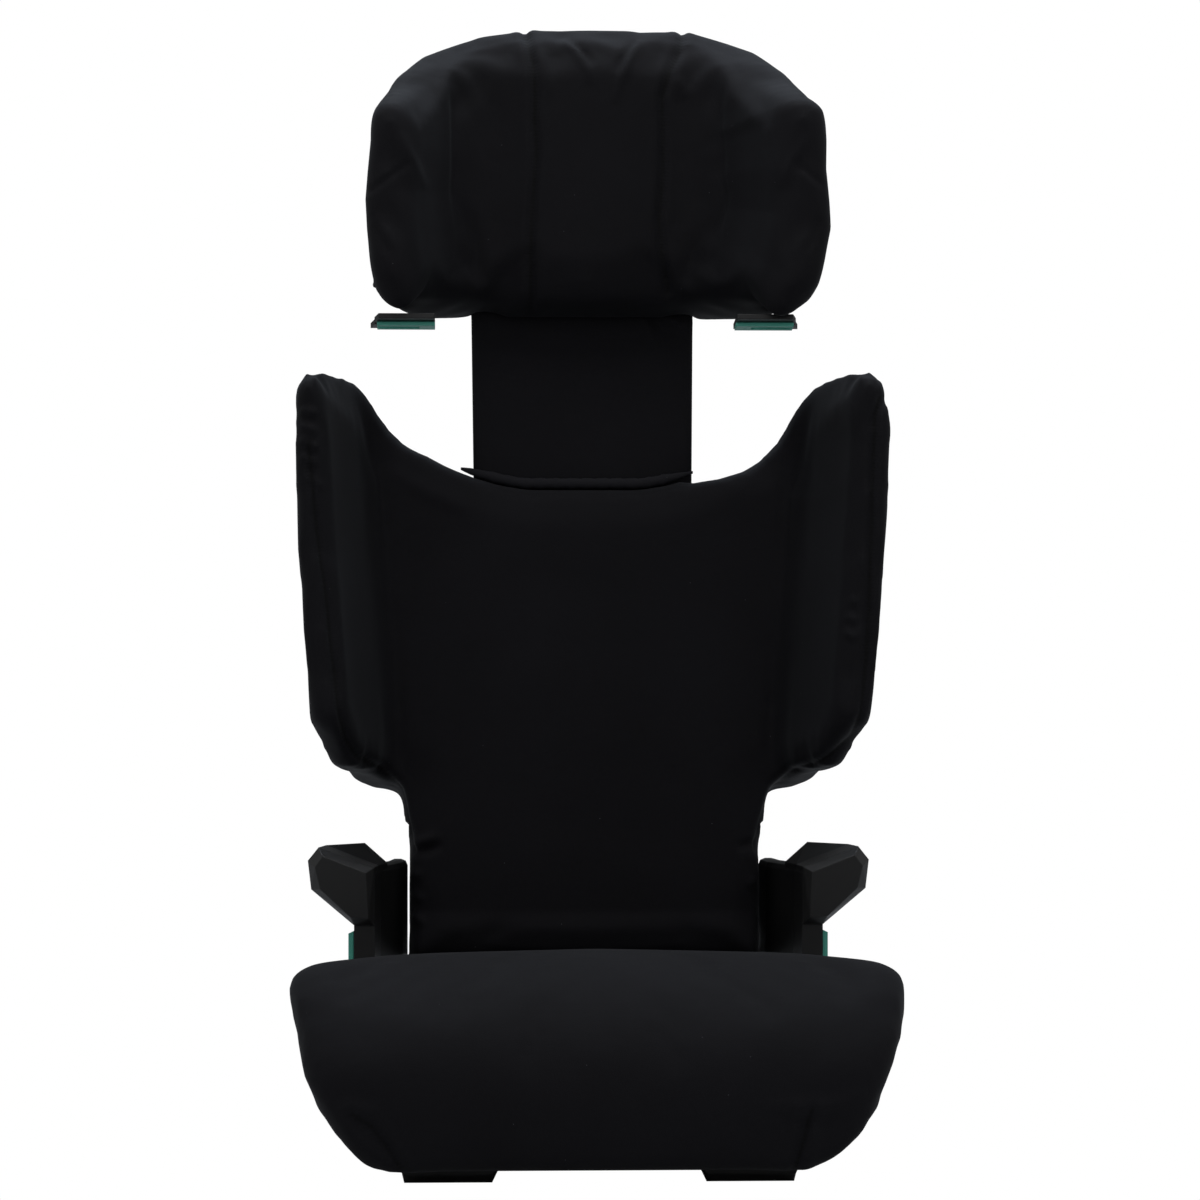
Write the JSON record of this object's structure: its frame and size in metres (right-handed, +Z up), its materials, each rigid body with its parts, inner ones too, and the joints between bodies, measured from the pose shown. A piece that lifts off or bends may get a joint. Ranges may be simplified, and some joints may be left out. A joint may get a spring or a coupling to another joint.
{
  "type": "high-back booster seat",
  "caption": "High-back child booster seat for a car: fabric-covered cushion with belt horns, winged backrest that tilts, and a winged headrest that slides in height.",
  "frame": {"origin": "middle of the footprint, on the floor under the skids", "axes": "+Z up, the front of the cushion towards -Y, left and right as seen from the front with left at -X"},
  "size_m": [0.453, 0.4712, 0.856],
  "materials": {
    "cover_fabric": "matte stretch knit",
    "foam": "open-cell foam",
    "black_plastic": "fine grain",
    "armrest_plastic": "satin",
    "teal_plastic": "satin",
    "steel": "plain"
  },
  "bodies": {
    "base": {"base_shell": "black_plastic", "skid_left": "black_plastic", "skid_right": "black_plastic", "seat_foam": "foam", "seat_cover": "cover_fabric", "armrest_left": "armrest_plastic", "armrest_cap_left": "armrest_plastic", "lap_belt_guide_left": "teal_plastic", "armrest_screw_left_front": "steel", "armrest_screw_left_rear": "steel", "rod_cap_left": "black_plastic", "armrest_right": "armrest_plastic", "armrest_cap_right": "armrest_plastic", "lap_belt_guide_right": "teal_plastic", "armrest_screw_right_front": "steel", "armrest_screw_right_rear": "steel", "rod_cap_right": "black_plastic", "hinge_rod": "steel"},
    "backrest": {"backrest_foam": "foam", "backrest_cover": "cover_fabric", "backrest_shell": "black_plastic", "cover_hem": "cover_fabric", "slide_rail_left": "black_plastic", "slide_rail_right": "black_plastic", "height_rack": "black_plastic", "rack_screw_low": "steel", "rack_screw_top": "steel"},
    "headrest": {"headrest_foam": "foam", "headrest_cover": "cover_fabric", "headrest_shell": "black_plastic", "neck_carrier": "black_plastic", "neck_cover": "cover_fabric", "pawl_pin": "steel", "handle_spring": "steel", "belt_guide_plate_left": "black_plastic", "belt_guide_left": "teal_plastic", "headrest_screw_left_low": "steel", "headrest_screw_left_top": "steel", "belt_guide_plate_right": "black_plastic", "belt_guide_right": "teal_plastic", "headrest_screw_right_low": "steel", "headrest_screw_right_top": "steel"},
    "release_handle": {"release_handle": "black_plastic", "pull_rod": "steel"},
    "latch_pawl": {"latch_pawl": "black_plastic"}
  },
  "joints": [
    {"name": "backrest_recline", "type": "hinge", "parent": "base", "child": "backrest", "pos_m": [0, 0.13, 0.075], "axis": [1, 0, 0], "range_deg": [-10, 15]},
    {"name": "headrest_height", "type": "slide", "parent": "backrest", "child": "headrest", "axis": [0, 0.1045, 0.9945], "range_m": [-0.072, 0]},
    {"name": "release_handle_pull", "type": "slide", "parent": "headrest", "child": "release_handle", "axis": [0, 0.1045, 0.9945], "range_m": [0, 0.005], "stiffness_N_per_m": 400, "springref_m": -0.005, "deforming": ["handle_spring"]},
    {"name": "latch_pawl_swing", "type": "hinge", "parent": "headrest", "child": "latch_pawl", "pos_m": [0, 0.15613, 0.32363], "axis": [1, 0, 0], "range_deg": [0, 31]}
  ],
  "couplings": [
    {"joint": "latch_pawl_swing", "follows": "release_handle_pull", "rad_per_m": 106}
  ]
}
